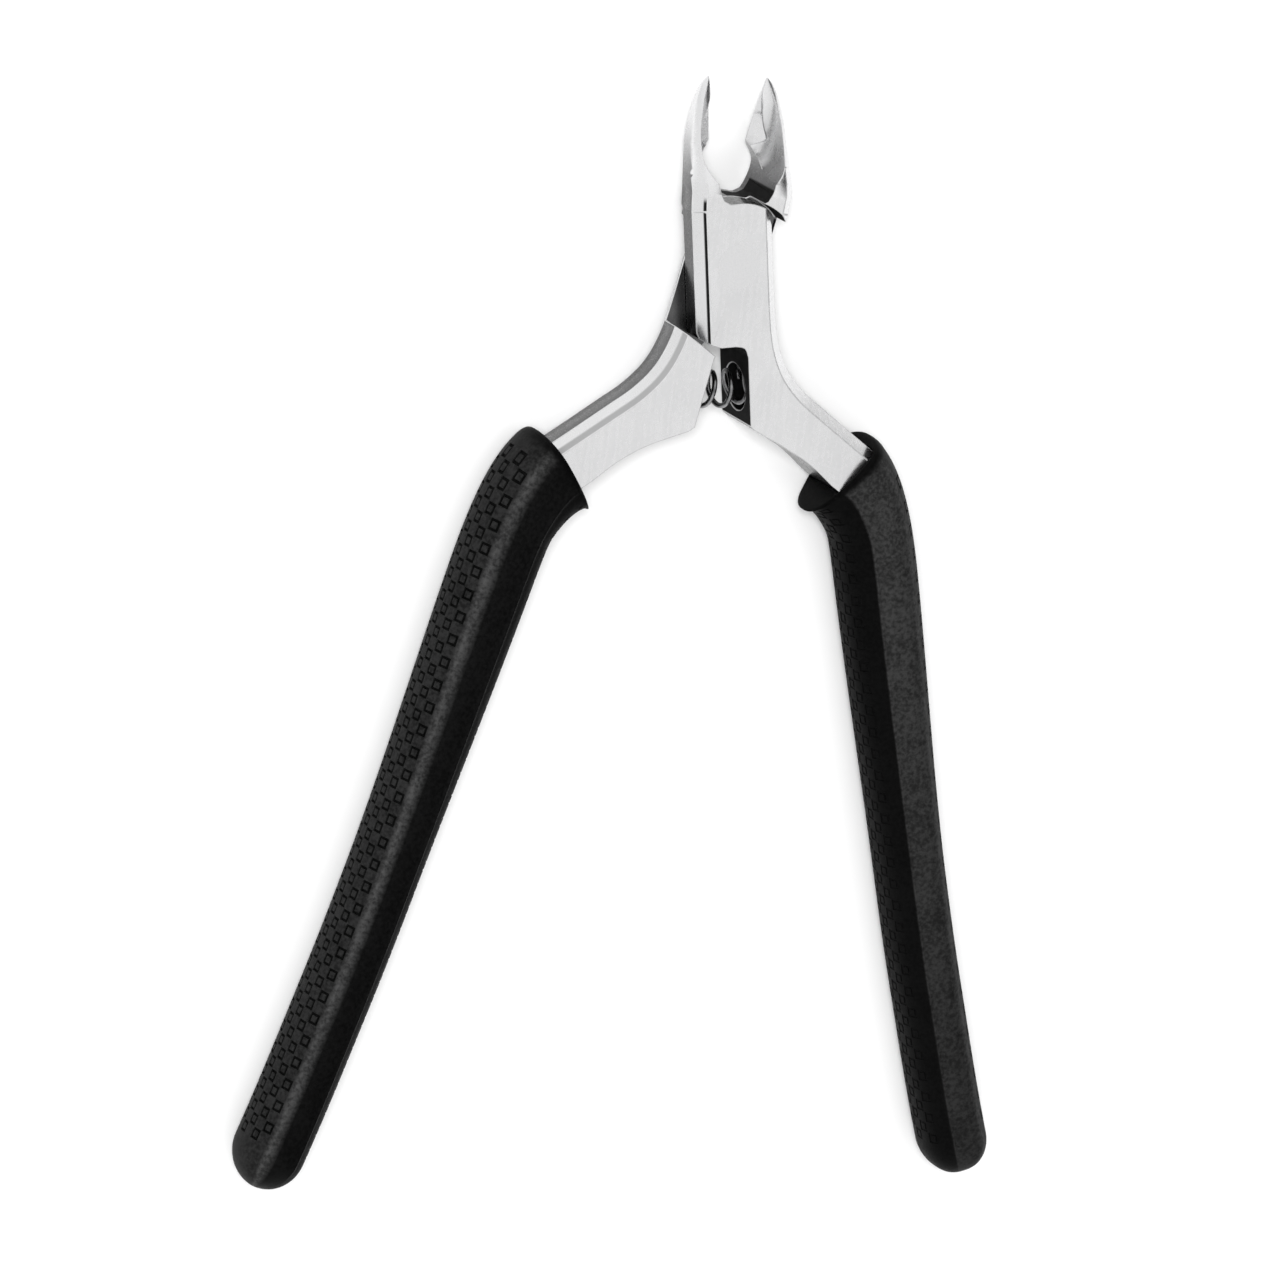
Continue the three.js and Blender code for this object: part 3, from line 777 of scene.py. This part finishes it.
def smooth_by_angle():
    """A modifier group that shades smoothly except across edges sharper than SMOOTH_TO."""
    tree, start, end = modifier_group("smooth_by_angle")
    angle = tree.nodes.new("GeometryNodeInputMeshEdgeAngle")
    gentle = tree.nodes.new("FunctionNodeCompare")
    gentle.data_type = "FLOAT"
    gentle.operation = "LESS_EQUAL"
    gentle.inputs["B"].default_value = math.radians(SMOOTH_TO)
    tree.links.new(angle.outputs["Unsigned Angle"], gentle.inputs["A"])
    faces = tree.nodes.new("GeometryNodeSetShadeSmooth")
    faces.domain = "FACE"
    edges = tree.nodes.new("GeometryNodeSetShadeSmooth")
    edges.domain = "EDGE"
    tree.links.new(gentle.outputs["Result"], edges.inputs["Shade Smooth"])
    tree.links.new(start.outputs["Geometry"], faces.inputs["Geometry"])
    tree.links.new(faces.outputs["Geometry"], edges.inputs["Geometry"])
    tree.links.new(edges.outputs["Geometry"], end.inputs["Geometry"])
    return tree


def weigh_sharp_edges():
    """A modifier group that marks the edges to be rounded, less and less towards the tips."""
    tree, start, end = modifier_group("weigh_sharp_edges")
    angle = tree.nodes.new("GeometryNodeInputMeshEdgeAngle")
    sharp = tree.nodes.new("ShaderNodeMath")
    sharp.operation = "GREATER_THAN"
    sharp.inputs[1].default_value = math.radians(ROUND_FROM)
    tree.links.new(angle.outputs["Unsigned Angle"], sharp.inputs[0])
    place = tree.nodes.new("GeometryNodeInputPosition")
    parts = tree.nodes.new("ShaderNodeSeparateXYZ")
    tree.links.new(place.outputs["Position"], parts.inputs[0])
    fade = tree.nodes.new("ShaderNodeMapRange")
    fade.inputs["From Min"].default_value = JAW_SHOULDER_R * MM
    fade.inputs["From Max"].default_value = EASED_TO * MM
    fade.inputs["To Min"].default_value = 1
    fade.inputs["To Max"].default_value = 0
    tree.links.new(parts.outputs["Y"], fade.inputs["Value"])
    weight = tree.nodes.new("ShaderNodeMath")
    weight.operation = "MULTIPLY"
    tree.links.new(sharp.outputs[0], weight.inputs[0])
    tree.links.new(fade.outputs["Result"], weight.inputs[1])
    store = tree.nodes.new("GeometryNodeStoreNamedAttribute")
    store.data_type = "FLOAT"
    store.domain = "EDGE"
    store.inputs["Name"].default_value = "bevel_weight_edge"
    tree.links.new(weight.outputs[0], store.inputs["Value"])
    tree.links.new(start.outputs["Geometry"], store.inputs["Geometry"])
    tree.links.new(store.outputs["Geometry"], end.inputs["Geometry"])
    return tree


def ease_edges(thing, weighing, shading):
    """Rounds a CAD part's sharp edges with modifiers, which leave its own mesh as it is."""
    weld = thing.modifiers.new("weld", "WELD")
    weld.merge_threshold = WELD * MM
    plain = thing.modifiers.new("plain_faces", "DECIMATE")
    plain.decimate_type = "DISSOLVE"
    plain.angle_limit = math.radians(0.5)
    thing.modifiers.new("weights", "NODES").node_group = weighing
    bevel = thing.modifiers.new("bevel", "BEVEL")
    bevel.width = EDGE_ROUND * MM
    bevel.segments = 3
    bevel.limit_method = "WEIGHT"
    bevel.use_clamp_overlap = False
    bevel.miter_outer = "MITER_ARC"
    bevel.material = 1
    thing.modifiers.new("shading", "NODES").node_group = shading
    flat = thing.modifiers.new("flat_faces", "WEIGHTED_NORMAL")
    flat.keep_sharp = True


# --- light and camera ----------------------------------------------------------------------


def add_key_light():
    """A square softbox near the camera that lights the floor but isn't mirrored in the steel."""
    data = bpy.data.lights.new("key", "AREA")
    data.shape = "SQUARE"
    data.size = KEY_SIZE
    data.energy = KEY_RADIANCE * math.pi * KEY_SIZE**2
    light = bpy.data.objects.new("key", data)
    light.location = TOWARDS_CAMERA * KEY_DISTANCE
    light.rotation_euler = (KEY_AIM - light.location).to_track_quat("-Z", "Y").to_euler()
    light.visible_glossy = False
    bpy.context.collection.objects.link(light)


def studio_world():
    """A light tent that is bright all round but for a dark wall on the right."""
    world = bpy.data.worlds.new("studio")
    world.use_nodes = True
    tree = world.node_tree
    where = tree.nodes.new("ShaderNodeTexCoord")
    parts = tree.nodes.new("ShaderNodeSeparateXYZ")
    tree.links.new(where.outputs["Generated"], parts.inputs[0])
    half = tree.nodes.new("ShaderNodeMapRange")
    half.inputs["From Min"].default_value = -1
    tree.links.new(parts.outputs["X"], half.inputs["Value"])
    ramp = tree.nodes.new("ShaderNodeValToRGB")
    tree.links.new(half.outputs["Result"], ramp.inputs["Fac"])
    ramp.color_ramp.interpolation = "EASE"
    elements = ramp.color_ramp.elements
    for position, _ in TENT[1:-1]:
        elements.new(position)
    for element, (_, value) in zip(elements, TENT):
        element.color = (value, value, value, 1)
    back = tree.nodes["Background"]
    back.inputs["Strength"].default_value = 1.0
    tree.links.new(ramp.outputs["Color"], back.inputs["Color"])
    return world


def add_camera():
    data = bpy.data.cameras.new("camera")
    camera = bpy.data.objects.new("camera", data)
    bpy.context.collection.objects.link(camera)
    middle = Vector((0, 0, THICK)) + IMAGE_RIGHT * VIEW_SHIFT[0] + IMAGE_UP * VIEW_SHIFT[1]
    camera.location = (middle + TOWARDS_CAMERA * DISTANCE) * MM
    camera.rotation_mode = "QUATERNION"
    turned = np.array([IMAGE_RIGHT, IMAGE_UP, TOWARDS_CAMERA]).T
    camera.rotation_quaternion = Matrix(turned.tolist()).to_quaternion()
    data.sensor_width = SENSOR
    data.lens = SENSOR * DISTANCE / FRAME_WIDTH
    data.clip_start = 0.05
    data.clip_end = 50
    return camera


# --- the scene -----------------------------------------------------------------------------

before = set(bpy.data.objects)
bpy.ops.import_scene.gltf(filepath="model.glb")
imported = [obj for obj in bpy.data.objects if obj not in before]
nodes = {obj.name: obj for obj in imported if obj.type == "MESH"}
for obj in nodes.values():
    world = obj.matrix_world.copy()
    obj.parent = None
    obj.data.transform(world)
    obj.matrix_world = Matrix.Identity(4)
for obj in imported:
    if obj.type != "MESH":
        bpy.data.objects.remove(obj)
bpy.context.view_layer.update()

weighing = weigh_sharp_edges()
shading = smooth_by_angle()
edge_steel = worn_edge("edge_steel")
for part, side in (("front_lever", 1), ("rear_lever", -1)):
    give(nodes[part], ground_steel(part + "_steel", side), edge_steel)
    ease_edges(nodes[part], weighing, shading)

rivet = build_rivet()
give(rivet, turned_steel("rivet_steel"))
rivet.modifiers.new("shading", "NODES").node_group = shading
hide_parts("pivot_rivet")
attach(rivet, "front")

rubber = soft_rubber("soft_rubber")
for name, side, body, node in (
    ("right_sleeve", 1, "front", "right_grip"),
    ("left_sleeve", -1, "rear", "left_grip"),
):
    sleeve = build_sleeve(name, side)
    give(sleeve, rubber)
    sleeve.modifiers.new("shading", "NODES").node_group = shading
    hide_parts(node)
    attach(sleeve, body)

spring, half_spring = build_spring()
give(spring, spring_wire_steel("spring_steel"))
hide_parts("spring")
seat = Vector((math.sin(half_spring), -math.cos(half_spring), 0)) * SPRING_ARM
seat = (seat + Vector((0, 0, MID))) * MM
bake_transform(spring)

bpy.ops.mesh.primitive_plane_add(size=FLOOR_SIZE)
floor = bpy.context.object
floor.name = "floor"
floor.location = (0, 0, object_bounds()[0].z)
give(floor, backdrop_white("floor_white"))

add_key_light()
bpy.context.scene.world = studio_world()
bpy.context.scene.camera = add_camera()
bpy.context.scene.view_settings.view_transform = "Standard"
